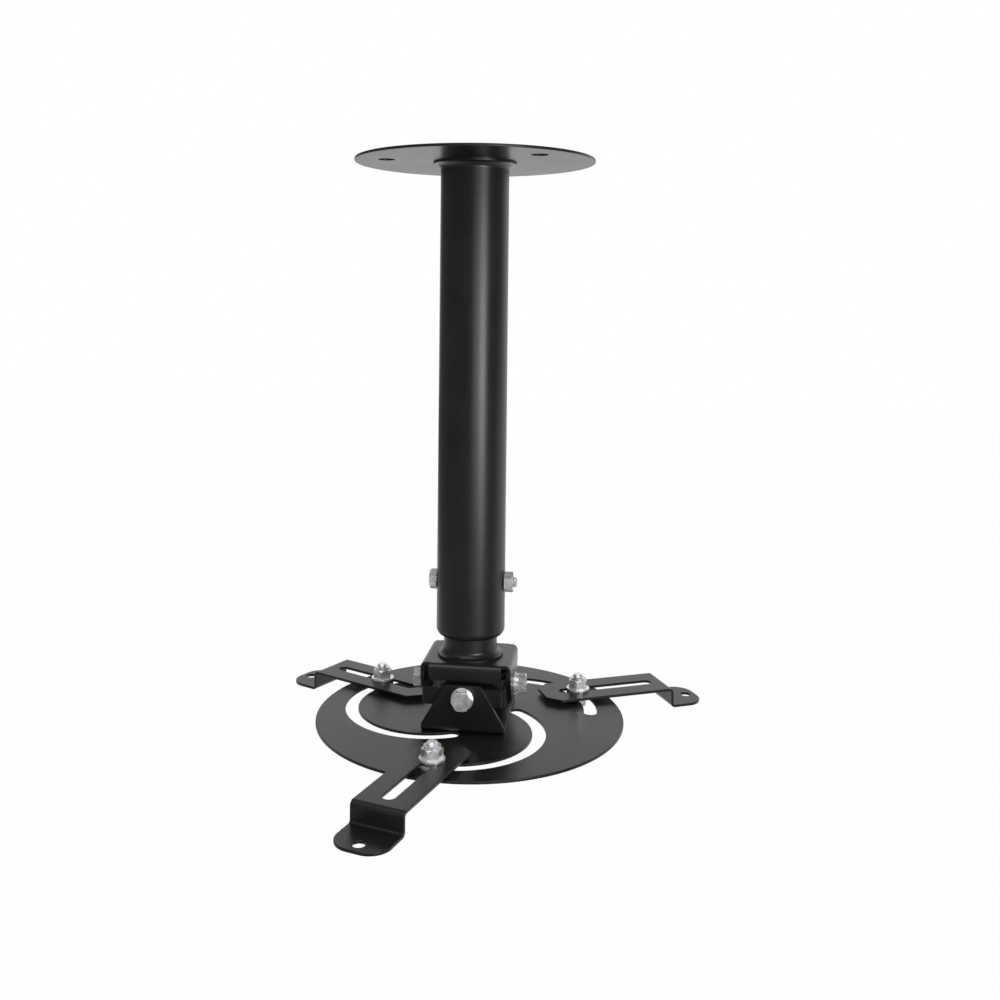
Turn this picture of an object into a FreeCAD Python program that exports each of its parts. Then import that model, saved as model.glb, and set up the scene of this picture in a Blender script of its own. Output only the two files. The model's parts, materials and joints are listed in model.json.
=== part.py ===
"""Telescopic ceiling mount for a projector, retracted, in millimetres.

The origin is the centre of the ceiling plate's top face, +Z points up and the mount hangs below.
X runs along the tilt axis, through the left and right gimbal bolts, and -Y is the front.
"""
import FreeCAD
import Part

import math
import os

# Ceiling plate
CEILING_PLATE_DIAMETER = 175.0
CEILING_PLATE_THICKNESS = 2.0
CEILING_HOLE_COUNT = 3
CEILING_HOLE_DIAMETER = 12.0
CEILING_HOLE_CIRCLE = 130.0
CEILING_HOLE_HEADING = 81.0

# Telescopic pole
INNER_TUBE_DIAMETER = 39.0
INNER_TUBE_LENGTH = 290.0
TUBE_STEP = 5.5
TUBE_WALL = 1.5
OUTER_TUBE_LENGTH = 344.0
NECK_SHOWING = 15.0
NECK_CLEARANCE = 0.3
NECK_LIP = 0.5
OUTER_FLARE_RADIUS = 4.5
OUTER_FLARE_LIP = 1.0
INNER_FLARE_RADIUS = 4.2
INNER_FLARE_LIP = 0.3
GUIDE_RING_HEIGHT = 15.0
GUIDE_RING_CLEARANCE = 0.3
POLE_BOLT_RISE = 38.6
HEIGHT_HOLE_COUNT = 7
HEIGHT_HOLE_PITCH = 36.0
FOOT_DISC_THICKNESS = 4.0

# Gimbal brackets, folded from sheet
BRACKET_SHEET = 2.5
BEND_RADIUS = 1.5
CROSS_WIDTH = 59.4
CROSS_DEPTH = 68.8
CROSS_ABOVE_AXIS = 6.0
CROSS_BELOW_AXIS = 6.0
CROSS_CORNER_RADIUS = 1.0
CROSS_COLLAR_DIAMETER = 12.0
GIMBAL_SIDE_GAP = 0.3
GIMBAL_DROP = 20.5
UPPER_DEPTH = 58.0
UPPER_SKIRT_HEIGHT = 11.5
UPPER_SKIRT_WIDTH = 52.0
UPPER_SKIRT_CORNER = 4.5
UPPER_LEG_BELOW_AXIS = 9.5
UPPER_LEG_END_WIDTH = 26.0
UPPER_LEG_END_CORNER = 7.0
UPPER_LEG_SHOULDER = 9.0
GIMBAL_HEIGHT = 24.5
LOWER_WIDTH = 59.0
LOWER_TOP_WIDTH = 26.0
LOWER_TOP_CORNER = 4.5
LOWER_FOOT_HEIGHT = 5.4
LOWER_ABOVE_AXIS = 8.8

# Spider plate with its pinwheel of arc slots
SPIDER_DIAMETER = 224.5
SPIDER_THICKNESS = 2.0
ARC_SLOT_OFFSET = 34.5
ARC_SLOT_RADIUS = 58.0
ARC_SLOT_WIDTH = 9.5

# Arms, three alike
ARM_THICKNESS = 2.0
ARM_WIDTH = 37.0
ARM_FLAT_LENGTH = 102.0
ARM_DROP = 13.0
ARM_FOOT_LENGTH = 28.0
ARM_FOOT_CORNER = 14.0
ARM_FOOT_HOLE_DIAMETER = 8.0
ARM_FOOT_HOLE_OFFSET = 20.0
ARM_INNER_CHAMFER = 9.0
ARM_SLOT_LENGTH = 77.0
ARM_SLOT_WIDTH = 8.5
ARM_SLOT_FROM_CREASE = 11.0

# Each arm's arc slot: heading of its centre seen from the pole, and where it runs about that centre.
# Where the arm is clamped: turn of its bolt along the slot, heading of the arm, bolt to crease.
ARM_SETTINGS = {
    "front": {"slot": 263.0, "slot_run": (-12.0, 146.0), "turn": 0.0, "heading": 253.5, "reach": 72.5},
    "right": {"slot": 30.5, "slot_run": (-31.5, 141.0), "turn": 5.0, "heading": 25.0, "reach": 72.7},
    "left": {"slot": 159.0, "slot_run": (-31.5, 137.0), "turn": -18.5, "heading": 154.0, "reach": 55.5},
}

# Fasteners
BOLT_DIAMETER = 8.0
HEX_FLATS = 13.0
HEAD_HEIGHT = 5.3
NUT_HEIGHT = 6.5
HEX_CHAMFER = 0.9
WASHER_DIAMETER = 16.0
WASHER_THICKNESS = 1.6
SPRING_WASHER_DIAMETER = 13.4
SPRING_WASHER_THICKNESS = 2.0
SPRING_WASHER_SPLIT = 1.6
BOLT_PROUD = 2.5
CLAMP_WASHER_DIAMETER = 17.5
CLAMP_SPACER_THICKNESS = 2.0
CLAMP_NUT_COLLAR_HEIGHT = 1.6
CLAMP_NUT_COLLAR_DIAMETER = 11.6
SWIVEL_BOLT_DIAMETER = 10.0
SWIVEL_HEX_FLATS = 16.0
SWIVEL_HEAD_HEIGHT = 6.4
SWIVEL_NUT_HEIGHT = 8.0
SWIVEL_WASHER_DIAMETER = 20.0
SWIVEL_WASHER_THICKNESS = 2.0
BOLT_HOLE_CLEARANCE = 0.3
PIVOT_CLEARANCE = 0.1
SEAT_GAP = 0.05

# Levels and radii that follow from the sizes above
CEILING_UNDERSIDE = -CEILING_PLATE_THICKNESS
OUTER_TUBE_END = CEILING_UNDERSIDE - OUTER_TUBE_LENGTH
BRACKET_TOP = OUTER_TUBE_END - NECK_SHOWING
GIMBAL_AXIS = BRACKET_TOP - GIMBAL_DROP
SPIDER_TOP = GIMBAL_AXIS - GIMBAL_HEIGHT
POLE_BOLT_LEVEL = OUTER_TUBE_END + POLE_BOLT_RISE
INNER_TUBE_FOOT = BRACKET_TOP + SEAT_GAP
INNER_TUBE_RADIUS = INNER_TUBE_DIAMETER / 2
OUTER_TUBE_RADIUS = INNER_TUBE_RADIUS + TUBE_STEP
UPPER_REACH = CROSS_WIDTH / 2 + GIMBAL_SIDE_GAP + BRACKET_SHEET
LOWER_REACH = CROSS_DEPTH / 2 + GIMBAL_SIDE_GAP + BRACKET_SHEET
ARM_UNDERSIDE = SPIDER_TOP + CLAMP_SPACER_THICKNESS + 2 * SEAT_GAP

UP = FreeCAD.Vector(0, 0, 1)
DOWN = FreeCAD.Vector(0, 0, -1)


def polar(radius, degrees):
    """Return the point at a radius and heading in the XY plane."""
    angle = math.radians(degrees)
    return FreeCAD.Vector(radius * math.cos(angle), radius * math.sin(angle), 0)


def rounded_outline(corners):
    """Return the flat face of a polygon whose corners are (x, y, corner radius)."""
    count = len(corners)
    runs = []
    for index, (x, y, radius) in enumerate(corners):
        corner = FreeCAD.Vector(x, y, 0)
        before = FreeCAD.Vector(*corners[index - 1][:2], 0) - corner
        after = FreeCAD.Vector(*corners[(index + 1) % count][:2], 0) - corner
        before.normalize()
        after.normalize()
        if radius == 0:
            runs.append((corner, None, corner))
            continue
        half_angle = before.getAngle(after) / 2
        setback = radius / math.tan(half_angle)
        bisector = before + after
        bisector.normalize()
        middle = corner + bisector * (radius / math.sin(half_angle) - radius)
        runs.append((corner + before * setback, middle, corner + after * setback))
    edges = []
    for index, (start, middle, end) in enumerate(runs):
        if middle is not None:
            edges.append(Part.Arc(start, middle, end).toShape())
        following = runs[(index + 1) % count][0]
        if (following - end).Length > 1e-6:
            edges.append(Part.makeLine(end, following))
    return Part.Face(Part.Wire(edges))


def bent_strip(path, thickness, bend_radii):
    """Return the flat section of a strip folded along a centre path, with inner bend radii."""
    points = [FreeCAD.Vector(x, y, 0) for x, y in path]
    steps = [b - a for a, b in zip(points, points[1:])]
    for step in steps:
        step.normalize()
    normals = [FreeCAD.Vector(-step.y, step.x, 0) for step in steps]
    sides = {1: [], -1: []}
    for side, outline in sides.items():
        offset = side * thickness / 2
        outline.append((*(points[0] + normals[0] * offset)[:2], 0))
        for index, radius in enumerate(bend_radii):
            first = normals[index]
            second = normals[index + 1]
            miter = (first + second) * (1 / (1 + first.dot(second)))
            place = points[index + 1] + miter * offset
            turns_left = steps[index].cross(steps[index + 1]).z > 0
            inside = turns_left == (side > 0)
            outline.append((place.x, place.y, radius if inside else radius + thickness))
        outline.append((*(points[-1] + normals[-1] * offset)[:2], 0))
    return rounded_outline(sides[-1] + sides[1][::-1])


def prism(face, height, start=0.0):
    """Return a flat face raised along Z from a starting level."""
    return face.translated(UP * start).extrude(UP * height)


def centred_bar(section, length):
    """Return a section drawn in X and Z, run along Y and centred on the XZ plane."""
    bar = prism(section, length, -length / 2)
    bar.rotate(FreeCAD.Vector(), FreeCAD.Vector(1, 0, 0), 90)
    return bar


def turned(shape, degrees):
    """Return a copy of a shape turned about the Z axis."""
    copy = shape.copy()
    copy.rotate(FreeCAD.Vector(), UP, degrees)
    return copy


def aimed(shape, place, direction):
    """Return a shape built along +Z, set at a place and pointing along a direction."""
    copy = shape.copy()
    copy.Placement = FreeCAD.Placement(place, FreeCAD.Rotation(UP, direction)).multiply(copy.Placement)
    return copy


def cylinder_between(start, end, radius):
    """Return a round bar between two points."""
    return Part.makeCylinder(radius, (end - start).Length, start, end - start)


def ring(outer_radius, inner_radius, height):
    """Return a plain ring standing on the XY plane."""
    return Part.makeCylinder(outer_radius, height).cut(Part.makeCylinder(inner_radius, height))


def tube_of_revolution(section):
    """Return a wall section, drawn as radius and height, turned right round the Z axis."""
    upright = section.copy()
    upright.rotate(FreeCAD.Vector(), FreeCAD.Vector(1, 0, 0), 90)
    return upright.revolve(FreeCAD.Vector(), UP, 360)


def hexagon(flats, height):
    """Return a hexagonal prism with chamfered corners at its top, flats facing along Y."""
    corner_radius = flats / math.sqrt(3)
    corners = [polar(corner_radius, 60 * step) for step in range(6)]
    block = prism(Part.Face(Part.makePolygon(corners + corners[:1])), height)
    slope = corner_radius - flats / 2
    rise = min(HEX_CHAMFER, height / 3)
    lower = Part.makeCylinder(corner_radius, height - rise)
    upper = Part.makeCone(corner_radius, corner_radius - slope, rise, UP * (height - rise))
    return block.common(lower.fuse(upper).removeSplitter())


def hex_bolt(diameter, flats, head_height, shank_length):
    """Return a hex bolt whose head stands on the XY plane with its shank hanging below."""
    head = hexagon(flats, head_height)
    tip = diameter / 8
    shank = Part.makeCylinder(diameter / 2, shank_length - tip, DOWN * (shank_length - tip))
    end = Part.makeCone(diameter / 2 - tip, diameter / 2, tip, DOWN * shank_length)
    return head.fuse([shank, end]).removeSplitter()


def hex_nut(diameter, flats, height):
    """Return a plain hex nut standing on the XY plane."""
    return hexagon(flats, height).cut(Part.makeCylinder(diameter / 2, height))


def spring_washer():
    """Return a split spring washer, pressed flat, standing on the XY plane."""
    washer = ring(SPRING_WASHER_DIAMETER / 2, BOLT_DIAMETER / 2, SPRING_WASHER_THICKNESS)
    gap = Part.makeBox(SPRING_WASHER_DIAMETER, SPRING_WASHER_SPLIT, 3 * SPRING_WASHER_THICKNESS)
    gap.translate(FreeCAD.Vector(0, -SPRING_WASHER_SPLIT / 2, -SPRING_WASHER_THICKNESS))
    gap.rotate(FreeCAD.Vector(0, 0, SPRING_WASHER_THICKNESS / 2), FreeCAD.Vector(1, 0, 0), 30)
    return washer.cut(gap)


def ceiling_plate():
    """Return the round plate with its three fixing holes."""
    plate = Part.makeCylinder(CEILING_PLATE_DIAMETER / 2, CEILING_PLATE_THICKNESS, UP * CEILING_UNDERSIDE)
    for index in range(CEILING_HOLE_COUNT):
        heading = CEILING_HOLE_HEADING + index * 360 / CEILING_HOLE_COUNT
        centre = polar(CEILING_HOLE_CIRCLE / 2, heading) + UP * CEILING_UNDERSIDE
        plate = plate.cut(Part.makeCylinder(CEILING_HOLE_DIAMETER / 2, CEILING_PLATE_THICKNESS, centre))
    return plate


def bolt_hole_across(level, radius):
    """Return the cutter of a bolt hole through both walls of the pole, along X."""
    reach = 2 * OUTER_TUBE_RADIUS
    start = FreeCAD.Vector(-reach, 0, level)
    return cylinder_between(start, start + FreeCAD.Vector(2 * reach, 0, 0), radius)


def outer_tube():
    """Return the outer tube, flared against the ceiling plate and necked in at its lower end."""
    middle = OUTER_TUBE_RADIUS - TUBE_WALL / 2
    flare_reach = OUTER_TUBE_RADIUS + OUTER_FLARE_RADIUS + OUTER_FLARE_LIP
    neck_radius = INNER_TUBE_RADIUS + NECK_CLEARANCE
    neck_bend = middle - neck_radius - TUBE_WALL / 2 - NECK_LIP
    path = [
        (flare_reach, CEILING_UNDERSIDE - TUBE_WALL / 2),
        (middle, CEILING_UNDERSIDE - TUBE_WALL / 2),
        (middle, OUTER_TUBE_END + TUBE_WALL / 2),
        (neck_radius, OUTER_TUBE_END + TUBE_WALL / 2),
    ]
    tube = tube_of_revolution(bent_strip(path, TUBE_WALL, [OUTER_FLARE_RADIUS, neck_bend]))
    return tube.cut(bolt_hole_across(POLE_BOLT_LEVEL, BOLT_DIAMETER / 2 + BOLT_HOLE_CLEARANCE))


def inner_tube():
    """Return the inner tube with its flared foot and its row of height holes."""
    middle = INNER_TUBE_RADIUS - TUBE_WALL / 2
    flare_reach = INNER_TUBE_RADIUS + INNER_FLARE_RADIUS + INNER_FLARE_LIP
    path = [
        (middle, INNER_TUBE_FOOT + INNER_TUBE_LENGTH),
        (middle, INNER_TUBE_FOOT + TUBE_WALL / 2),
        (flare_reach, INNER_TUBE_FOOT + TUBE_WALL / 2),
    ]
    tube = tube_of_revolution(bent_strip(path, TUBE_WALL, [INNER_FLARE_RADIUS]))
    for index in range(HEIGHT_HOLE_COUNT):
        level = POLE_BOLT_LEVEL + index * HEIGHT_HOLE_PITCH
        tube = tube.cut(bolt_hole_across(level, BOLT_DIAMETER / 2 + BOLT_HOLE_CLEARANCE))
    return tube


def guide_ring():
    """Return the plastic ring round the inner tube's top, which guides it in the outer tube."""
    outer = OUTER_TUBE_RADIUS - TUBE_WALL - GUIDE_RING_CLEARANCE
    level = INNER_TUBE_FOOT + INNER_TUBE_LENGTH - GUIDE_RING_HEIGHT
    return ring(outer, INNER_TUBE_RADIUS, GUIDE_RING_HEIGHT).translated(UP * level)


def foot_disc_level():
    """Return the level of the foot disc's underside, just above the inner tube's flare."""
    return INNER_TUBE_FOOT + INNER_FLARE_RADIUS + TUBE_WALL


def foot_disc():
    """Return the disc welded in the inner tube's foot, which the swivel bolt pulls on."""
    bore = SWIVEL_BOLT_DIAMETER / 2 + BOLT_HOLE_CLEARANCE
    disc = ring(INNER_TUBE_RADIUS - TUBE_WALL, bore, FOOT_DISC_THICKNESS)
    return disc.translated(UP * foot_disc_level())


def pole_fasteners():
    """Return the bolt across the pole, which locks the height, and its nut."""
    span = 2 * OUTER_TUBE_RADIUS
    left = FreeCAD.Vector(-OUTER_TUBE_RADIUS, 0, POLE_BOLT_LEVEL)
    right = FreeCAD.Vector(OUTER_TUBE_RADIUS, 0, POLE_BOLT_LEVEL)
    bolt = hex_bolt(BOLT_DIAMETER, HEX_FLATS, HEAD_HEIGHT, span + NUT_HEIGHT + BOLT_PROUD)
    nut = hex_nut(BOLT_DIAMETER, HEX_FLATS, NUT_HEIGHT)
    return {
        "pole_bolt": aimed(bolt, left, FreeCAD.Vector(-1, 0, 0)),
        "pole_nut": aimed(nut, right, FreeCAD.Vector(1, 0, 0)),
    }


def swivel_fasteners():
    """Return the pivot bolt under the upper bracket, its washers and the nut in the pole's foot."""
    underside = BRACKET_TOP - BRACKET_SHEET - SEAT_GAP
    head_level = underside - SWIVEL_WASHER_THICKNESS
    disc_top = foot_disc_level() + FOOT_DISC_THICKNESS
    nut_level = disc_top + SWIVEL_WASHER_THICKNESS
    shank = nut_level + SWIVEL_NUT_HEIGHT + BOLT_PROUD - head_level
    bolt = hex_bolt(SWIVEL_BOLT_DIAMETER, SWIVEL_HEX_FLATS, SWIVEL_HEAD_HEIGHT, shank)
    washer = ring(SWIVEL_WASHER_DIAMETER / 2, SWIVEL_BOLT_DIAMETER / 2, SWIVEL_WASHER_THICKNESS)
    nut = hex_nut(SWIVEL_BOLT_DIAMETER, SWIVEL_HEX_FLATS, SWIVEL_NUT_HEIGHT)
    return {
        "swivel_bolt": aimed(bolt, UP * head_level, DOWN),
        "swivel_lower_washer": washer.translated(UP * head_level),
        "swivel_upper_washer": washer.translated(UP * disc_top),
        "swivel_nut": nut.translated(UP * nut_level),
    }


def upper_leg_outline():
    """Return the outline of a side leg in Y and height: full depth above, tapered to its round end."""
    half_depth = UPPER_DEPTH / 2 - BEND_RADIUS - BRACKET_SHEET
    half_end = UPPER_LEG_END_WIDTH / 2
    end = GIMBAL_AXIS - UPPER_LEG_BELOW_AXIS
    shoulder = GIMBAL_AXIS + UPPER_LEG_SHOULDER
    corner = UPPER_LEG_END_CORNER
    return rounded_outline([
        (-half_depth, BRACKET_TOP, 0),
        (-half_depth, shoulder, corner),
        (-half_end, end, corner),
        (half_end, end, corner),
        (half_depth, shoulder, corner),
        (half_depth, BRACKET_TOP, 0),
    ])


def upper_bracket():
    """Return the inverted bracket that swivels under the pole, folded from one cross of sheet."""
    sheet = BRACKET_SHEET
    bends = [BEND_RADIUS, BEND_RADIUS]
    leg_x = UPPER_REACH - sheet / 2
    leg_end = GIMBAL_AXIS - UPPER_LEG_BELOW_AXIS
    top = BRACKET_TOP - sheet / 2
    legs_path = [(-leg_x, leg_end), (-leg_x, top), (leg_x, top), (leg_x, leg_end)]
    legs = centred_bar(bent_strip(legs_path, sheet, bends), UPPER_DEPTH)
    legs = legs.common(turned(centred_bar(upper_leg_outline(), 2 * UPPER_REACH), 90))
    skirt_y = UPPER_DEPTH / 2 - sheet / 2
    skirt_end = BRACKET_TOP - UPPER_SKIRT_HEIGHT
    skirt_path = [(-skirt_y, skirt_end), (-skirt_y, top), (skirt_y, top), (skirt_y, skirt_end)]
    half_skirt = UPPER_SKIRT_WIDTH / 2
    skirts = turned(centred_bar(bent_strip(skirt_path, sheet, bends), UPPER_SKIRT_WIDTH), 90)
    skirt_outline = rounded_outline([
        (-half_skirt, BRACKET_TOP, 0),
        (-half_skirt, skirt_end, UPPER_SKIRT_CORNER),
        (half_skirt, skirt_end, UPPER_SKIRT_CORNER),
        (half_skirt, BRACKET_TOP, 0),
    ])
    skirts = skirts.common(centred_bar(skirt_outline, UPPER_DEPTH))
    bracket = legs.fuse(skirts).removeSplitter()
    bracket = bracket.cut(gimbal_hole(FreeCAD.Vector(1, 0, 0), BOLT_DIAMETER / 2 + BOLT_HOLE_CLEARANCE))
    pivot = SWIVEL_BOLT_DIAMETER / 2 + PIVOT_CLEARANCE
    return bracket.cut(Part.makeCylinder(pivot, 2 * sheet, UP * (BRACKET_TOP - 1.5 * sheet)))


def gimbal_hole(direction, radius):
    """Return the cutter of a hole through both walls of the gimbal along a direction."""
    centre = UP * GIMBAL_AXIS
    reach = direction * (2 * LOWER_REACH)
    return cylinder_between(centre - reach, centre + reach, radius)


def cross_frame():
    """Return the ring of strip that carries both gimbal axes, with a drawn collar front and back."""
    height = CROSS_ABOVE_AXIS + CROSS_BELOW_AXIS
    signs = [(-1, -1), (1, -1), (1, 1), (-1, 1)]
    half_width = CROSS_WIDTH / 2
    half_depth = CROSS_DEPTH / 2
    sheet = BRACKET_SHEET
    corner = CROSS_CORNER_RADIUS
    outside = rounded_outline([(x * half_width, y * half_depth, corner + sheet) for x, y in signs])
    inside = rounded_outline([(x * (half_width - sheet), y * (half_depth - sheet), corner) for x, y in signs])
    frame = prism(outside.cut(inside), height, GIMBAL_AXIS - CROSS_BELOW_AXIS)
    collar = Part.makeCylinder(CROSS_COLLAR_DIAMETER / 2, sheet / 2 + LOWER_REACH - half_depth - 2 * SEAT_GAP)
    for side in (-1, 1):
        place = FreeCAD.Vector(0, side * (half_depth - sheet / 2), GIMBAL_AXIS)
        frame = frame.fuse(aimed(collar, place, FreeCAD.Vector(0, side, 0)))
    frame = frame.removeSplitter().cut(gimbal_hole(FreeCAD.Vector(0, 1, 0), BOLT_DIAMETER / 2))
    return frame.cut(gimbal_hole(FreeCAD.Vector(1, 0, 0), BOLT_DIAMETER / 2 + PIVOT_CLEARANCE))


def lower_bracket():
    """Return the channel on the spider plate, whose two tapered legs turn on the frame's collars."""
    sheet = BRACKET_SHEET
    leg_y = LOWER_REACH - sheet / 2
    base = SPIDER_TOP + sheet / 2
    leg_top = GIMBAL_AXIS + LOWER_ABOVE_AXIS
    path = [(-leg_y, leg_top), (-leg_y, base), (leg_y, base), (leg_y, leg_top)]
    channel = turned(centred_bar(bent_strip(path, sheet, [BEND_RADIUS, BEND_RADIUS]), LOWER_WIDTH), 90)
    half_base = LOWER_WIDTH / 2
    half_top = LOWER_TOP_WIDTH / 2
    outline = rounded_outline([
        (-half_base, SPIDER_TOP, 0),
        (half_base, SPIDER_TOP, 0),
        (half_base, SPIDER_TOP + LOWER_FOOT_HEIGHT, 0),
        (half_top, leg_top, LOWER_TOP_CORNER),
        (-half_top, leg_top, LOWER_TOP_CORNER),
        (-half_base, SPIDER_TOP + LOWER_FOOT_HEIGHT, 0),
    ])
    channel = channel.common(centred_bar(outline, 2 * LOWER_REACH))
    return channel.cut(gimbal_hole(FreeCAD.Vector(0, 1, 0), CROSS_COLLAR_DIAMETER / 2 + PIVOT_CLEARANCE))


def tilt_fasteners(side, direction):
    """Return one tilt bolt, its two washers outside the upper bracket and its nut inside the frame."""
    axis_point = UP * GIMBAL_AXIS
    washer_place = axis_point + direction * UPPER_REACH
    spring_place = washer_place + direction * WASHER_THICKNESS
    head_place = spring_place + direction * SPRING_WASHER_THICKNESS
    nut_place = axis_point + direction * (CROSS_WIDTH / 2 - BRACKET_SHEET - SEAT_GAP)
    shank = (head_place - nut_place).Length + NUT_HEIGHT + BOLT_PROUD
    washer = ring(WASHER_DIAMETER / 2, BOLT_DIAMETER / 2, WASHER_THICKNESS)
    bolt = hex_bolt(BOLT_DIAMETER, HEX_FLATS, HEAD_HEIGHT, shank)
    nut = hex_nut(BOLT_DIAMETER, HEX_FLATS, NUT_HEIGHT)
    return {
        f"tilt_washer_{side}": aimed(washer, washer_place, direction),
        f"tilt_spring_washer_{side}": aimed(spring_washer(), spring_place, direction),
        f"tilt_bolt_{side}": aimed(bolt, head_place, direction),
        f"tilt_nut_{side}": aimed(nut, nut_place, direction * -1),
    }


def roll_fasteners(side, direction):
    """Return one roll bolt, screwed into the frame's collar, and its washer outside the lower bracket."""
    washer_place = UP * GIMBAL_AXIS + direction * (LOWER_REACH + SEAT_GAP)
    head_place = washer_place + direction * WASHER_THICKNESS
    shank = LOWER_REACH + SEAT_GAP + WASHER_THICKNESS - CROSS_DEPTH / 2 + BRACKET_SHEET - 2 * SEAT_GAP
    washer = ring(WASHER_DIAMETER / 2, BOLT_DIAMETER / 2, WASHER_THICKNESS)
    bolt = hex_bolt(BOLT_DIAMETER, HEX_FLATS, HEAD_HEIGHT, shank)
    return {
        f"roll_washer_{side}": aimed(washer, washer_place, direction),
        f"roll_bolt_{side}": aimed(bolt, head_place, direction),
    }


def arc_slot(settings):
    """Return the cutter of one arc slot, round at both ends."""
    heading = settings["slot"]
    centre = polar(ARC_SLOT_OFFSET, heading)
    start, end = (heading + turn for turn in settings["slot_run"])
    half = ARC_SLOT_WIDTH / 2
    outer = ARC_SLOT_RADIUS + half
    inner = ARC_SLOT_RADIUS - half
    middle = (start + end) / 2
    cap = math.degrees(half / ARC_SLOT_RADIUS)
    edges = [
        Part.Arc(polar(outer, start), polar(outer, middle), polar(outer, end)),
        Part.Arc(polar(outer, end), polar(ARC_SLOT_RADIUS, end + cap), polar(inner, end)),
        Part.Arc(polar(inner, end), polar(inner, middle), polar(inner, start)),
        Part.Arc(polar(inner, start), polar(ARC_SLOT_RADIUS, start - cap), polar(outer, start)),
    ]
    face = Part.Face(Part.Wire([edge.toShape() for edge in edges])).translated(centre)
    return prism(face, 3 * SPIDER_THICKNESS, SPIDER_TOP - 2 * SPIDER_THICKNESS)


def spider_plate():
    """Return the round plate with three arc slots that curl round each other like a pinwheel."""
    plate = Part.makeCylinder(SPIDER_DIAMETER / 2, SPIDER_THICKNESS, UP * (SPIDER_TOP - SPIDER_THICKNESS))
    for settings in ARM_SETTINGS.values():
        plate = plate.cut(arc_slot(settings))
    return plate


def straight_slot(start, end, width):
    """Return the flat face of a straight slot along X, round at both ends."""
    half = width / 2
    return rounded_outline([
        (start, -half, half * 0.999),
        (end, -half, half * 0.999),
        (end, half, half * 0.999),
        (start, half, half * 0.999),
    ])


def arm(reach):
    """Return one cranked arm along +X with its clamp bolt at the origin and its underside on Z = 0."""
    inner_end = reach - ARM_FLAT_LENGTH
    foot_end = reach + ARM_FOOT_LENGTH
    middle = ARM_THICKNESS / 2
    wall = reach - middle
    path = [(inner_end, middle), (wall, middle), (wall, middle - ARM_DROP), (foot_end, middle - ARM_DROP)]
    strap = centred_bar(bent_strip(path, ARM_THICKNESS, [BEND_RADIUS, BEND_RADIUS]), ARM_WIDTH)
    half = ARM_WIDTH / 2
    chamfer = ARM_INNER_CHAMFER
    outline = rounded_outline([
        (inner_end, -half + chamfer, 0),
        (inner_end + chamfer, -half, 0),
        (foot_end, -half, ARM_FOOT_CORNER),
        (foot_end, half, ARM_FOOT_CORNER),
        (inner_end + chamfer, half, 0),
        (inner_end, half - chamfer, 0),
    ])
    depth = ARM_DROP + 3 * ARM_THICKNESS
    strap = strap.common(prism(outline, depth, -ARM_DROP - ARM_THICKNESS))
    slot_end = reach - ARM_SLOT_FROM_CREASE
    slot = straight_slot(slot_end - ARM_SLOT_LENGTH, slot_end, ARM_SLOT_WIDTH)
    strap = strap.cut(prism(slot, 3 * ARM_THICKNESS, -ARM_THICKNESS))
    hole_place = FreeCAD.Vector(reach + ARM_FOOT_HOLE_OFFSET, 0, -ARM_DROP - ARM_THICKNESS)
    return strap.cut(Part.makeCylinder(ARM_FOOT_HOLE_DIAMETER / 2, 3 * ARM_THICKNESS, hole_place))


def clamp_nut():
    """Return a locking nut standing on the XY plane, with its round collar on top."""
    collar = Part.makeCylinder(CLAMP_NUT_COLLAR_DIAMETER / 2, CLAMP_NUT_COLLAR_HEIGHT, UP * NUT_HEIGHT)
    body = hexagon(HEX_FLATS, NUT_HEIGHT).fuse(collar).removeSplitter()
    return body.cut(Part.makeCylinder(BOLT_DIAMETER / 2, NUT_HEIGHT + CLAMP_NUT_COLLAR_HEIGHT))


def arm_pieces(side, settings):
    """Return one arm where it is clamped, with its bolt from below, spacer, washer and nut."""
    heading = settings["slot"]
    bolt_turn = heading + settings["turn"]
    bolt_point = polar(ARC_SLOT_OFFSET, heading) + polar(ARC_SLOT_RADIUS, bolt_turn)
    strap = turned(arm(settings["reach"]), settings["heading"]).translated(bolt_point + UP * ARM_UNDERSIDE)
    head_level = SPIDER_TOP - SPIDER_THICKNESS - SEAT_GAP
    washer_level = ARM_UNDERSIDE + ARM_THICKNESS + SEAT_GAP
    nut_level = washer_level + WASHER_THICKNESS
    shank = nut_level + NUT_HEIGHT + CLAMP_NUT_COLLAR_HEIGHT + BOLT_PROUD - head_level
    bolt = hex_bolt(BOLT_DIAMETER, HEX_FLATS, HEAD_HEIGHT, shank)
    spacer = ring(CLAMP_WASHER_DIAMETER / 2, BOLT_DIAMETER / 2, CLAMP_SPACER_THICKNESS)
    washer = ring(CLAMP_WASHER_DIAMETER / 2, BOLT_DIAMETER / 2 + SEAT_GAP, WASHER_THICKNESS)
    nut = clamp_nut().cut(Part.makeCylinder(BOLT_DIAMETER / 2 + SEAT_GAP, shank))
    return {
        f"arm_{side}": strap,
        f"clamp_bolt_{side}": turned(aimed(bolt, FreeCAD.Vector(), DOWN), settings["heading"]).translated(
            bolt_point + UP * head_level),
        f"clamp_spacer_{side}": spacer.translated(bolt_point + UP * (SPIDER_TOP + SEAT_GAP)),
        f"clamp_washer_{side}": washer.translated(bolt_point + UP * washer_level),
        f"clamp_nut_{side}": turned(nut, settings["heading"]).translated(bolt_point + UP * nut_level),
    }


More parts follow.
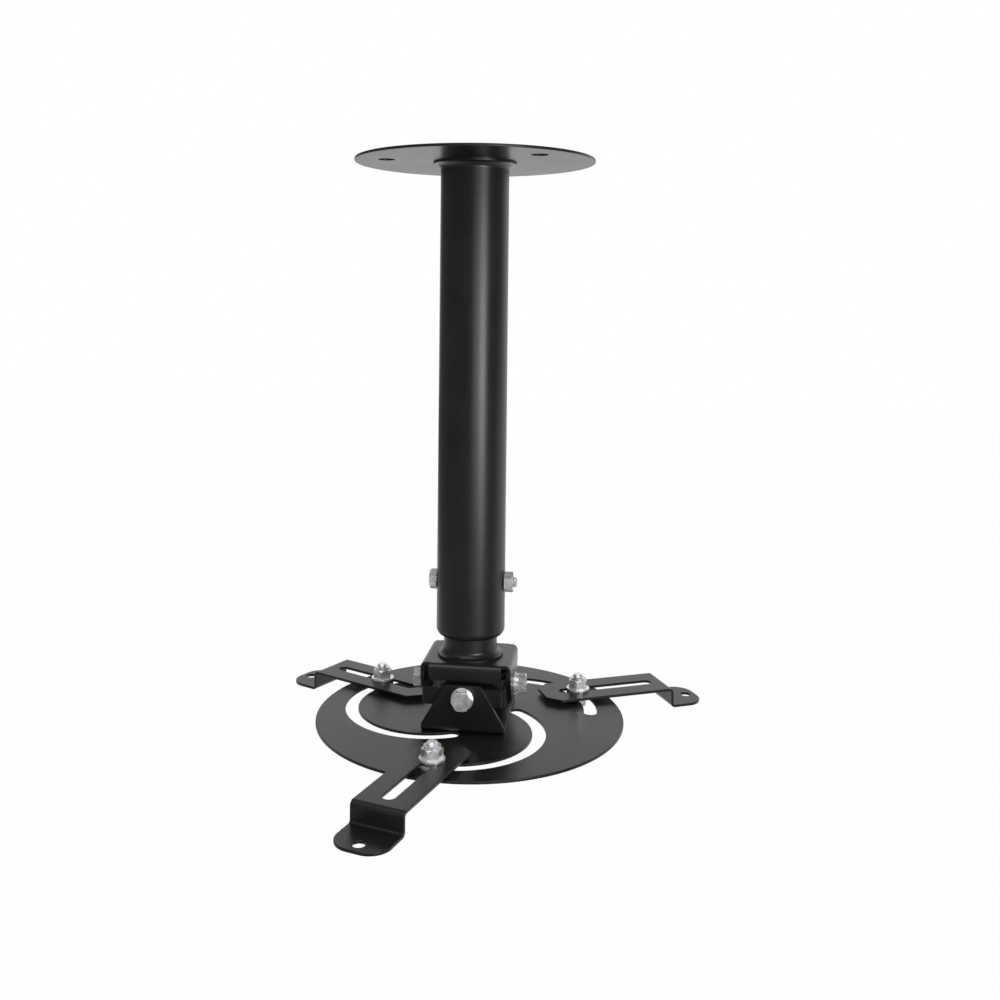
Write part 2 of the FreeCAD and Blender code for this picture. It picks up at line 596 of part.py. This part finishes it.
def all_pieces():
    """Return every piece of the mount by its node name."""
    pieces = {
        "ceiling_plate": ceiling_plate(),
        "outer_tube": outer_tube(),
        "inner_tube": inner_tube(),
        "guide_ring": guide_ring(),
        "foot_disc": foot_disc(),
        "upper_bracket": upper_bracket(),
        "cross_frame": cross_frame(),
        "lower_bracket": lower_bracket(),
        "spider_plate": spider_plate(),
    }
    pieces.update(pole_fasteners())
    pieces.update(swivel_fasteners())
    for sign, side in ((-1, "left"), (1, "right")):
        pieces.update(tilt_fasteners(side, FreeCAD.Vector(sign, 0, 0)))
    for sign, side in ((-1, "front"), (1, "back")):
        pieces.update(roll_fasteners(side, FreeCAD.Vector(0, sign, 0)))
    for side, settings in ARM_SETTINGS.items():
        pieces.update(arm_pieces(side, settings))
    return pieces


os.makedirs("parts", exist_ok=True)
for name, shape in all_pieces().items():
    shape.exportStep(os.path.join("parts", f"{name}.step"))
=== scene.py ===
# %% [markdown]
# # A ceiling mount for a projector
# The mount is sheet steel and tube under a satin black powder coat, held together by bright zinc fasteners.
# The construction is already solved as solids, so this script only dresses them: it gives each piece soft
# edges, real threads and a finish, and then lights and photographs the result.

import json
import math

import bmesh
import bpy
from mathutils import Matrix, Vector


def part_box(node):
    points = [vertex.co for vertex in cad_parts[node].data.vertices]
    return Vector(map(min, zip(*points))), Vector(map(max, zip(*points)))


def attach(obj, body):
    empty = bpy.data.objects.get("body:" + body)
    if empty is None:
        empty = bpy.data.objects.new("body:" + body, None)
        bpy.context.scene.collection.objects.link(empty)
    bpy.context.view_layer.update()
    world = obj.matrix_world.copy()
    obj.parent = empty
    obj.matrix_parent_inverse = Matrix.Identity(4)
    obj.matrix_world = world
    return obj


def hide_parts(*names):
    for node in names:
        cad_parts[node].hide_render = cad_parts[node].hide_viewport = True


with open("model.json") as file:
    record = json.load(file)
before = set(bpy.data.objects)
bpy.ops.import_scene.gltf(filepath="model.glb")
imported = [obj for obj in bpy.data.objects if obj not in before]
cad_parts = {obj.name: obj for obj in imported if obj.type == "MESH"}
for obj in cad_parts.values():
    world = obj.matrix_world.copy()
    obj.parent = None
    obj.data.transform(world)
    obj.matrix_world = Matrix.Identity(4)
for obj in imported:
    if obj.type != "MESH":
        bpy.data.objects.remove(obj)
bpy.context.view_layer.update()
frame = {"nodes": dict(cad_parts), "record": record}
bodies = frame["record"]["behaviour"]["bodies"]
body_of_node = {node: body for body, nodes in bodies.items() for node in nodes}
slot_of_node = {part["node"]: part["material_slot"] for part in frame["record"]["subparts"]}
MM = 0.001

# %% [markdown]
# ## Shader maths as plain expressions
# A material is a web of nodes, and wiring simple sums by hand hides the idea behind them. A small class that
# wraps one socket and overloads the operators lets a finish read like the formula it is, such as `1 - mask`.
# Every other node comes from one method, `node`, which sets the node's own settings before it links sockets.


# %% A socket that does arithmetic
class Signal:
    """One output socket in a node tree. Arithmetic on it adds Math nodes and returns a new signal."""

    def __init__(self, tree, socket=None):
        self.tree = tree
        self.socket = socket

    def node(self, kind, sockets=None, output=0, stops=None, **settings):
        """Add any node: settings first, then a ramp's stops, then the values or links of its sockets."""
        added = self.tree.nodes.new(kind)
        for name, value in settings.items():
            setattr(added, name, value)
        for index, (position, colour) in enumerate(stops or []):
            elements = added.color_ramp.elements
            stop = elements[index] if index < len(elements) else elements.new(position)
            stop.position = position
            stop.color = (*colour, 1)
        for name, value in (sockets or {}).items():
            if isinstance(value, Signal):
                self.tree.links.new(value.socket, added.inputs[name])
            else:
                added.inputs[name].default_value = value
        return Signal(self.tree, added.outputs[output] if len(added.outputs) else None)

    def maths(self, operation, first, second):
        """Add one Math node for two signals or numbers."""
        return self.node("ShaderNodeMath", {0: first, 1: second}, operation=operation)

    def __add__(self, other):
        return self.maths("ADD", self, other)

    __radd__ = __add__

    def __sub__(self, other):
        return self.maths("SUBTRACT", self, other)

    def __rsub__(self, other):
        return self.maths("SUBTRACT", other, self)

    def __mul__(self, other):
        return self.maths("MULTIPLY", self, other)

    __rmul__ = __mul__

    def __truediv__(self, other):
        return self.maths("DIVIDE", self, other)

    def __rtruediv__(self, other):
        return self.maths("DIVIDE", other, self)


def new_material(name):
    """Return a fresh material and a bare signal to build its nodes with."""
    material = bpy.data.materials.new(name)
    material.use_nodes = True
    material.node_tree.nodes.clear()
    return material, Signal(material.node_tree)


def finish_material(start, surface):
    """Link a shader to the material's output."""
    start.node("ShaderNodeOutputMaterial", {"Surface": surface})


finishes = {}
print("finishes to make:", sorted(set(slot_of_node.values())))


# %% [markdown]
# ## Satin black powder coat
# Powder coat is melted plastic dust. It levels out into a skin that is never quite flat: broad soft waves,
# known as orange peel, with a finer grain on top. These two noises feed the bump. A third, of wide clouds,
# moves the roughness and the colour a little, together with the grain, so that highlights break up as they do
# on the real skin. The colour is almost black. A picture of a coat would repeat, and noise in space doesn't.


# %% Powder coat
COAT_COLOUR = (0.0050, 0.0045, 0.0050)
COAT_WORN_COLOUR = (0.0120, 0.0112, 0.0120)
COAT_ROUGHNESS = 0.25
COAT_IOR = 1.47
PEEL_SCALE = 420.0
GRAIN_SCALE = 2600.0
CLOUD_SCALE = 24.0
CLOUDS_IN_TONE = 0.6
PEEL_IN_HEIGHT = 0.75
CLOUDS_IN_ROUGHNESS = 0.08
GRAIN_IN_ROUGHNESS = 0.05
COAT_BUMP_STRENGTH = 0.16
COAT_BUMP_DEPTH = 0.12 * MM


def powder_coat():
    """Return the coat on every black steel piece."""
    material, start = new_material("satin_black_powder_coat")
    place = start.node("ShaderNodeTexCoord", output="Object")
    peel = start.node("ShaderNodeTexNoise", {"Vector": place, "Scale": PEEL_SCALE, "Detail": 2.0})
    grain = start.node("ShaderNodeTexNoise", {"Vector": place, "Scale": GRAIN_SCALE, "Detail": 1.0})
    cloud = start.node("ShaderNodeTexNoise", {"Vector": place, "Scale": CLOUD_SCALE, "Detail": 3.0})
    mottle = cloud * CLOUDS_IN_TONE + grain * (1 - CLOUDS_IN_TONE)
    tone = start.node("ShaderNodeValToRGB", {"Fac": mottle},
                      stops=[(0.35, COAT_COLOUR), (0.75, COAT_WORN_COLOUR)])
    height = peel * PEEL_IN_HEIGHT + grain * (1 - PEEL_IN_HEIGHT)
    bump = start.node("ShaderNodeBump", {
        "Height": height, "Strength": COAT_BUMP_STRENGTH, "Distance": COAT_BUMP_DEPTH})
    roughness = COAT_ROUGHNESS + cloud * CLOUDS_IN_ROUGHNESS + grain * GRAIN_IN_ROUGHNESS
    finish_material(start, start.node("ShaderNodeBsdfPrincipled", {
        "Base Color": tone, "Roughness": roughness, "Normal": bump, "IOR": COAT_IOR}))
    return material


finishes["black_coat"] = powder_coat()
print("finish:", finishes["black_coat"].name)


# %% [markdown]
# ## Bright zinc plate
# The fasteners are plated steel. Fresh zinc is a mirror of sorts, but its crystals scatter part of the light,
# so a plated nut stays pale on every side. That is why Metallic stays below 1 almost everywhere and drifts
# with the plating. A little blue and straw colour drifts over real zinc too.


# %% Zinc
ZINC_BLUE = (0.76, 0.79, 0.83)
ZINC_STRAW = (0.88, 0.86, 0.82)
ZINC_METALLIC = 0.30
ZINC_ROUGHNESS = 0.12
DRIFT_SCALE = 160.0
DRIFT_IN_METALLIC = 0.9
DRIFT_IN_ROUGHNESS = 0.14
SCRATCH_SCALE = 1800.0
SCRATCH_IN_ROUGHNESS = 0.08
SCRATCH_STRENGTH = 0.12
SCRATCH_DEPTH = 0.05 * MM


def zinc_plate():
    """Return the plating on bolts, nuts and washers."""
    material, start = new_material("bright_zinc_plate")
    place = start.node("ShaderNodeTexCoord", output="Object")
    drift = start.node("ShaderNodeTexNoise", {"Vector": place, "Scale": DRIFT_SCALE, "Detail": 3.0})
    scratch = start.node("ShaderNodeTexNoise", {"Vector": place, "Scale": SCRATCH_SCALE, "Detail": 4.0})
    tone = start.node("ShaderNodeValToRGB", {"Fac": drift}, stops=[(0.35, ZINC_BLUE), (0.68, ZINC_STRAW)])
    bump = start.node("ShaderNodeBump", {
        "Height": scratch, "Strength": SCRATCH_STRENGTH, "Distance": SCRATCH_DEPTH})
    metallic = ZINC_METALLIC + drift * DRIFT_IN_METALLIC
    roughness = ZINC_ROUGHNESS + drift * DRIFT_IN_ROUGHNESS + scratch * SCRATCH_IN_ROUGHNESS
    finish_material(start, start.node("ShaderNodeBsdfPrincipled", {
        "Base Color": tone, "Metallic": metallic, "Roughness": roughness, "Normal": bump}))
    return material


finishes["zinc"] = zinc_plate()
print("finish:", finishes["zinc"].name)


# %% [markdown]
# ## Moulded plastic
# One piece hides inside the pole: the ring that guides the inner tube. It is a plain matte moulding with the
# fine spark-eroded texture of its mould. One fine noise is enough for that, because the ring is hardly seen.


# %% Guide plastic
PLASTIC_DARK = (0.030, 0.030, 0.031)
PLASTIC_PALE = (0.050, 0.050, 0.051)
PLASTIC_ROUGHNESS = 0.45
SPARK_SCALE = 1500.0
SPARK_IN_ROUGHNESS = 0.2
SPARK_STRENGTH = 0.3
SPARK_DEPTH = 0.1 * MM


def guide_plastic():
    """Return the plastic of the guide ring."""
    material, start = new_material("moulded_guide_plastic")
    place = start.node("ShaderNodeTexCoord", output="Object")
    spark = start.node("ShaderNodeTexNoise", {"Vector": place, "Scale": SPARK_SCALE, "Detail": 2.0})
    tone = start.node("ShaderNodeValToRGB", {"Fac": spark}, stops=[(0.3, PLASTIC_DARK), (0.7, PLASTIC_PALE)])
    bump = start.node("ShaderNodeBump", {
        "Height": spark, "Strength": SPARK_STRENGTH, "Distance": SPARK_DEPTH})
    roughness = PLASTIC_ROUGHNESS + spark * SPARK_IN_ROUGHNESS
    finish_material(start, start.node("ShaderNodeBsdfPrincipled", {
        "Base Color": tone, "Roughness": roughness, "Normal": bump}))
    return material


finishes["guide_plastic"] = guide_plastic()
print("finish:", finishes["guide_plastic"].name)

# %% [markdown]
# ## Soft edges
# No pressed or turned edge is perfectly sharp, and the thin bright line along an edge is what tells the eye
# that a thing is real. Each solid is copied, its loose triangles are merged back into whole faces, and a
# Bevel modifier rounds every edge by a fraction of a millimetre. Smooth shading alone would then bend the
# light on the large flat faces, so Weighted Normal lets each large face keep its own normal. The copy then
# stands for the solid.

# %% Copy a solid with rounded edges
MERGE_DISTANCE = 0.02 * MM
FLAT_ANGLE = math.radians(0.4)
SHARP_ANGLE = math.radians(28)
EDGE_RADIUS = {"black_coat": 0.45 * MM, "zinc": 0.16 * MM, "guide_plastic": 0.3 * MM}
EDGE_SEGMENTS = 3
FLAT_WEIGHT = 100


def merged_copy(node):
    """Return a mesh with a node's triangles merged into whole flat faces."""
    mesh = frame["nodes"][node].data.copy()
    shell = bmesh.new()
    shell.from_mesh(mesh)
    bmesh.ops.remove_doubles(shell, verts=shell.verts, dist=MERGE_DISTANCE)
    bmesh.ops.dissolve_limit(shell, angle_limit=FLAT_ANGLE, verts=shell.verts, edges=shell.edges)
    shell.to_mesh(mesh)
    shell.free()
    return mesh


def bake_modifiers(piece):
    """Turn what the modifiers make into the piece's own plain mesh, and remove them."""
    view = bpy.context.evaluated_depsgraph_get()
    made = bpy.data.meshes.new_from_object(piece.evaluated_get(view))
    piece.modifiers.clear()
    piece.data = made


def show_piece(name, mesh, finish):
    """Put a mesh in the scene under a name, with its one finish."""
    mesh.materials.clear()
    mesh.materials.append(finishes[finish])
    piece = bpy.data.objects.new(name, mesh)
    bpy.context.scene.collection.objects.link(piece)
    return piece


def stand_for(piece, node):
    """Let a piece ride on a node's body and stand for the node."""
    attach(piece, body_of_node[node])
    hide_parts(node)


print("edge radii in mm:", {slot: round(radius / MM, 2) for slot, radius in EDGE_RADIUS.items()})


# %% [markdown]
# ## Threaded ends
# Six bolts stand a little way out of their nuts and show a rolled thread there. A thread is a ridge that
# climbs round a cylinder, so it follows a path, and Geometry Nodes suit it: a spiral, a small diamond swept
# along it, and one copy on each bolt end. The shank is thinned there to the thread's core, so that the crests
# keep the bolt's own size. A vertex with a stored direction says where each copy goes.

# %% Where the threads are
THREAD_PITCH = 1.25 * MM
THREAD_DEPTH = 0.45 * MM
THREAD_STEPS = 32
THREAD_RUN_IN = 0.4 * MM
THREAD_CUTS = (2 * THREAD_RUN_IN, THREAD_RUN_IN)
THREAD_POINT = 0.7 * MM
BOLT_RADIUS = 4.0 * MM
CORE_RADIUS = BOLT_RADIUS - THREAD_DEPTH

bolt_ends = {
    "pole_bolt": ("pole_nut", Vector((1, 0, 0))),
    "tilt_bolt_left": ("tilt_nut_left", Vector((1, 0, 0))),
    "tilt_bolt_right": ("tilt_nut_right", Vector((-1, 0, 0))),
}
for side in ("front", "right", "left"):
    bolt_ends[f"clamp_bolt_{side}"] = (f"clamp_nut_{side}", Vector((0, 0, 1)))


def bolt_end(bolt):
    """Return where a bolt leaves its nut, its direction there and how far it stands out."""
    nut, along = bolt_ends[bolt]
    low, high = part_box(bolt)
    middle = (low + high) / 2
    level = max(corner.dot(along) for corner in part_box(nut))
    reach = max(low.dot(along), high.dot(along)) - level
    return middle + along * (level - middle.dot(along)), along, reach


def thin_to_core(mesh, bolt):
    """Thin a bolt's end to the core of its thread, from just inside its nut outwards."""
    root, along, _ = bolt_end(bolt)
    shell = bmesh.new()
    shell.from_mesh(mesh)
    for depth in THREAD_CUTS:
        everything = shell.verts[:] + shell.edges[:] + shell.faces[:]
        bmesh.ops.bisect_plane(shell, geom=everything, plane_co=root - along * depth, plane_no=along)
    for corner in shell.verts:
        rise = (corner.co - root).dot(along)
        outward = corner.co - root - along * rise
        if rise > -sum(THREAD_CUTS) / 2 and outward.length > CORE_RADIUS:
            corner.co = root + along * rise + outward.normalized() * CORE_RADIUS
    shell.to_mesh(mesh)
    shell.free()


print("threaded ends:", {bolt: round(bolt_end(bolt)[2] / MM, 2) for bolt in bolt_ends})


# %% A tree of nodes that rolls threads
def thread_tree():
    """Return a tree that sets a rolled thread on each vertex of a mesh, along the direction stored there."""
    tree = bpy.data.node_groups.new("rolled_thread", "GeometryNodeTree")
    kinds = {"Ends": "Geometry", "Pitch": "Float", "Rise": "Float", "Core Radius": "Float", "Depth": "Float",
             "Steps": "Int", "Finish": "Material"}
    for name, kind in kinds.items():
        tree.interface.new_socket(name, in_out="INPUT", socket_type=f"NodeSocket{kind}")
    tree.interface.new_socket("Threads", in_out="OUTPUT", socket_type="NodeSocketGeometry")
    start = Signal(tree)
    given = {name: start.node("NodeGroupInput", output=name) for name in kinds}
    spiral = start.node("GeometryNodeCurveSpiral", {
        "Resolution": given["Steps"], "Rotations": given["Rise"] / given["Pitch"], "Height": given["Rise"],
        "Start Radius": given["Core Radius"], "End Radius": given["Core Radius"]})
    upright = start.node("GeometryNodeSetCurveNormal", {"Curve": spiral}, mode="Z_UP")
    ridge = start.node("GeometryNodeCurvePrimitiveCircle", {"Resolution": 4, "Radius": given["Depth"]})
    thread = start.node("GeometryNodeCurveToMesh", {
        "Curve": upright, "Profile Curve": ridge, "Fill Caps": True})
    direction = start.node("GeometryNodeInputNamedAttribute", {"Name": "bolt_direction"},
                           data_type="FLOAT_VECTOR")
    turn = start.node("FunctionNodeAlignRotationToVector", {"Vector": direction}, axis="Z")
    copies = start.node("GeometryNodeInstanceOnPoints", {
        "Points": given["Ends"], "Instance": thread, "Rotation": turn})
    real = start.node("GeometryNodeRealizeInstances", {"Geometry": copies})
    plated = start.node("GeometryNodeSetMaterial", {"Geometry": real, "Material": given["Finish"]})
    start.node("NodeGroupOutput", {"Threads": plated})
    return tree


threads = thread_tree()
print("thread tree:", len(threads.nodes), "nodes")


# %% Roll the threads of each body
def rolled_threads(body, bolts):
    """Return the threads of all the bolts of one body as one piece."""
    ends = [bolt_end(bolt) for bolt in bolts]
    mesh = bpy.data.meshes.new(f"{body}_threads")
    mesh.from_pydata([root for root, _, _ in ends], [], [])
    stored = mesh.attributes.new("bolt_direction", "FLOAT_VECTOR", "POINT")
    for point, (_, along, _) in zip(stored.data, ends):
        point.vector = along
    piece = show_piece(f"{body}_threads", mesh, "zinc")
    roller = piece.modifiers.new("rolled thread", "NODES")
    roller.node_group = threads
    shortest = min(reach for _, _, reach in ends)
    values = {"Pitch": THREAD_PITCH, "Rise": shortest - THREAD_POINT, "Core Radius": CORE_RADIUS,
              "Depth": THREAD_DEPTH, "Steps": THREAD_STEPS, "Finish": finishes["zinc"]}
    for socket in threads.interface.items_tree:
        if socket.name in values:
            roller[socket.identifier] = values[socket.name]
    bake_modifiers(piece)
    piece.data.shade_flat()
    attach(piece, body)
    return piece


for body in sorted({body_of_node[bolt] for bolt in bolt_ends}):
    made = rolled_threads(body, [bolt for bolt in bolt_ends if body_of_node[bolt] == body])
    print("threads on", body, "faces:", len(made.data.polygons))

# %% [markdown]
# ## Every piece, dressed
# With the helpers in place, one loop dresses all the solids. Each copy rides on its own body, so the mount
# moves exactly as the solids do.


# %% Dress all the solids
def soft_edged(node):
    """Return a soft-edged piece that stands for a node."""
    slot = slot_of_node[node]
    mesh = merged_copy(node)
    if node in bolt_ends:
        thin_to_core(mesh, node)
    mesh.shade_smooth()
    piece = show_piece(f"{node}_dressed", mesh, slot)
    bevel = piece.modifiers.new("soft edge", "BEVEL")
    bevel.width = EDGE_RADIUS[slot]
    bevel.segments = EDGE_SEGMENTS
    bevel.limit_method = "ANGLE"
    bevel.angle_limit = SHARP_ANGLE
    flatten = piece.modifiers.new("flat faces stay flat", "WEIGHTED_NORMAL")
    flatten.weight = FLAT_WEIGHT
    bake_modifiers(piece)
    stand_for(piece, node)
    return piece


dressed = {node: soft_edged(node) for node in frame["nodes"]}
print("soft-edged pieces:", len(dressed))

# %% [markdown]
# ## The camera
# The photograph was taken from about three quarters of the mount's height, and it is cut so that the lens
# axis is left of and above its middle. A camera with a shift says exactly that, and keeps the pole's sides
# almost parallel.

# %% Camera at the photograph's place
CAMERA_FOCAL_PIXELS = 1073.19
PICTURE_PIXELS = 1000
SENSOR = 36.0
CAMERA_NEAREST = 10 * MM
CAMERA_DISTANCE = 784.1 * MM
CAMERA_ASIDE = 2.8 * MM
CAMERA_LEVEL = -102.5 * MM
CAMERA_AZIMUTH = math.radians(8.0)
CAMERA_YAW = 0.0045
CAMERA_PITCH = 0.0194
CAMERA_ROLL = 0.0101
AXIS_PIXEL = (482.30, 321.90)


def photograph_camera():
    """Return the scene's camera."""
    lens = bpy.data.cameras.new("photograph_camera")
    lens.sensor_width = SENSOR
    lens.lens = CAMERA_FOCAL_PIXELS * SENSOR / PICTURE_PIXELS
    lens.shift_x = (PICTURE_PIXELS / 2 - AXIS_PIXEL[0]) / PICTURE_PIXELS
    lens.shift_y = (AXIS_PIXEL[1] - PICTURE_PIXELS / 2) / PICTURE_PIXELS
    lens.clip_start = CAMERA_NEAREST
    camera = bpy.data.objects.new("photograph_camera", lens)
    bpy.context.scene.collection.objects.link(camera)
    turn = Matrix.Rotation(CAMERA_AZIMUTH, 4, "Z")
    place = turn @ Vector((CAMERA_ASIDE, -CAMERA_DISTANCE, CAMERA_LEVEL))
    look = Matrix.Rotation(-CAMERA_YAW, 4, "Z") @ Matrix.Rotation(math.pi / 2 - CAMERA_PITCH, 4, "X")
    camera.matrix_world = Matrix.Translation(place) @ turn @ look @ Matrix.Rotation(CAMERA_ROLL, 4, "Z")
    bpy.context.scene.camera = camera
    return camera


print("camera at:", tuple(photograph_camera().matrix_world.translation))

# %% [markdown]
# ## The studio
# A black thing is seen by what it mirrors, so the studio decides how it looks. White paper hangs behind the
# mount and lies under it, a dark card stands on the left, and the room behind the lens is dim. Each pair of
# values below says where one of these begins and where it is complete, so that all have soft borders. In the
# world they are parts of a direction of length 1, and on the floor they are metres.

# %% Where the paper and the card are
ROOM_TONE = 0.20
PAPER_TOP = (math.sin(math.radians(26.5)), math.sin(math.radians(33.5)))
PAPER_SIDE = (0.2, 0.6)
PAPER_FRONT = (-0.5, 0.5)
CARD_IN_WORLD = (0.32, 0.6)
CARD_ON_FLOOR = (0.8, 1.4)
AWAY_FROM_LENS = Vector((-math.sin(CAMERA_AZIMUTH), math.cos(CAMERA_AZIMUTH), 0))
LEFT_OF_LENS = Vector((-math.cos(CAMERA_AZIMUTH), -math.sin(CAMERA_AZIMUTH), 0))


def between(signal, start, end):
    """Return a signal that rises from 0 to 1 as another goes from start to end."""
    return signal.node("ShaderNodeMapRange", {"Value": signal, "From Min": start, "From Max": end})


def measured(place, axis):
    """Return how far a place or a direction goes along an axis."""
    return place.node("ShaderNodeVectorMath", {0: place, 1: axis}, output="Value", operation="DOT_PRODUCT")


print("the lens looks along:", tuple(AWAY_FROM_LENS), "with on its left:", tuple(LEFT_OF_LENS))


# %% [markdown]
# ## The floor
# Light Path tells which kind of ray asks. The lens sees the floor plain white, with a trace of its paint and
# so of the mount's shadow, and a reflection sees the paper, the card or the dim room. A mount on a ceiling is
# also looked at from below, so the floor is clear from its underside.

# %% Floor
FLOOR_LEVEL = -0.75
FLOOR_SIZE = 12.0
FLOOR_DARK = (0.93, 0.93, 0.93)
FLOOR_PALE = (0.95, 0.95, 0.95)
FLOOR_ROUGHNESS = 0.9
SPECKLE_SCALE = 30.0
PAPER_SHOWN = 0.97


def pale_floor():
    """Return the pale floor under the mount."""
    mesh = bpy.data.meshes.new("pale_floor")
    half = FLOOR_SIZE / 2
    corners = [(-half, -half, FLOOR_LEVEL), (half, -half, FLOOR_LEVEL), (half, half, FLOOR_LEVEL),
               (-half, half, FLOOR_LEVEL)]
    mesh.from_pydata(corners, [], [(0, 1, 2, 3)])
    material, start = new_material("pale_floor_paint")
    place = start.node("ShaderNodeTexCoord", output="Object")
    speckle = start.node("ShaderNodeTexNoise", {"Vector": place, "Scale": SPECKLE_SCALE})
    tone = start.node("ShaderNodeValToRGB", {"Fac": speckle}, stops=[(0.3, FLOOR_DARK), (0.7, FLOOR_PALE)])
    paint = start.node("ShaderNodeBsdfPrincipled", {"Base Color": tone, "Roughness": FLOOR_ROUGHNESS})
    seen = start.node("ShaderNodeLightPath", output="Is Camera Ray")
    mirrored = start.node("ShaderNodeLightPath", output="Is Glossy Ray")
    behind = between(measured(place, AWAY_FROM_LENS), *PAPER_FRONT)
    card = between(measured(place, LEFT_OF_LENS), *CARD_ON_FLOOR)
    paper = behind * (1 - card) + seen
    shade = start.node("ShaderNodeValToRGB", {"Fac": paper}, stops=[(0, (ROOM_TONE,) * 3), (1, (1, 1, 1))])
    white = start.node("ShaderNodeEmission", {"Color": shade, "Strength": 1.0})
    mixed = start.node("ShaderNodeMixShader", {0: (seen + mirrored) * PAPER_SHOWN, 1: paint, 2: white})
    below = start.node("ShaderNodeNewGeometry", output="Backfacing")
    clear = start.node("ShaderNodeBsdfTransparent")
    finish_material(start, start.node("ShaderNodeMixShader", {0: below, 1: mixed, 2: clear}))
    mesh.materials.append(material)
    floor = bpy.data.objects.new("pale_floor", mesh)
    bpy.context.scene.collection.objects.link(floor)
    return floor


pale_floor()
print("floor at", FLOOR_LEVEL, "m")

# %% [markdown]
# ## The world
# The world does the same for rays that miss the floor. The lens, and a ray through something clear, see
# white. A reflection sees the paper up to its top edge, or else the card or the dim room. All other rays
# bring an even soft light.

# %% World
WORLD_LIGHT = 0.75


def white_world():
    """Make the world white to the lens, a studio to reflections, and a soft light to all other rays."""
    world = bpy.data.worlds.new("white_studio")
    world.use_nodes = True
    world.node_tree.nodes.clear()
    start = Signal(world.node_tree)
    direction = start.node("ShaderNodeTexCoord", output="Generated")
    height = start.node("ShaderNodeSeparateXYZ", {"Vector": direction}, output="Z")
    behind = between(measured(direction, AWAY_FROM_LENS), *PAPER_SIDE)
    card = between(measured(direction, LEFT_OF_LENS), *CARD_IN_WORLD)
    paper = behind * (1 - between(height, *PAPER_TOP)) * (1 - card)
    lens = start.node("ShaderNodeLightPath", output="Is Camera Ray")
    through = start.node("ShaderNodeLightPath", output="Is Transmission Ray")
    mirrored = start.node("ShaderNodeLightPath", output="Is Glossy Ray")
    seen = start.maths("MINIMUM", lens + through, 1.0)
    reflection = ROOM_TONE + paper * (1 - ROOM_TONE)
    strength = seen + (1 - seen) * (mirrored * reflection + (1 - mirrored) * WORLD_LIGHT)
    light = start.node("ShaderNodeBackground", {"Color": (1, 1, 1, 1), "Strength": strength})
    start.node("ShaderNodeOutputWorld", {"Surface": light})
    bpy.context.scene.world = world


white_world()
print("world:", bpy.context.scene.world.name, "with a room tone of", ROOM_TONE)

# %% [markdown]
# ## The lamps
# Large area lamps give soft edges to every highlight. Two on the right draw the long highlight down the pole,
# and one above lights the rest. Their places are set from the camera, because a studio is arranged round the
# lens, and each looks at the middle of the mount.

# %% Soft lamps
LAMP_TARGET = Vector((0, 0, -0.22))


def soft_lamp(name, azimuth, elevation, distance, width, height, power):
    """Add an area lamp at an azimuth right of the camera and an elevation, facing the mount."""
    lamp = bpy.data.lights.new(name, "AREA")
    lamp.shape = "RECTANGLE"
    lamp.size = width
    lamp.size_y = height
    lamp.energy = power
    turn = CAMERA_AZIMUTH + math.radians(azimuth)
    rise = math.radians(elevation)
    away = Vector((math.sin(turn) * math.cos(rise), -math.cos(turn) * math.cos(rise), math.sin(rise)))
    stand = bpy.data.objects.new(name, lamp)
    stand.rotation_mode = "QUATERNION"
    stand.location = LAMP_TARGET + away * distance
    stand.rotation_quaternion = (-away).to_track_quat("-Z", "Y")
    bpy.context.scene.collection.objects.link(stand)
    print("lamp:", name, power, "W")


soft_lamp("tall_lamp_right", azimuth=32, elevation=0, distance=1.6, width=0.52, height=0.6, power=9)
soft_lamp("wide_lamp_right", azimuth=14, elevation=0, distance=1.8, width=0.8, height=0.66, power=4.5)
soft_lamp("top_lamp", azimuth=-20, elevation=62, distance=2.0, width=1.6, height=1.6, power=14)

# %% [markdown]
# ## Colour
# The Standard view transform shows colours as they are written.

# %% Close
bpy.context.scene.view_settings.view_transform = "Standard"
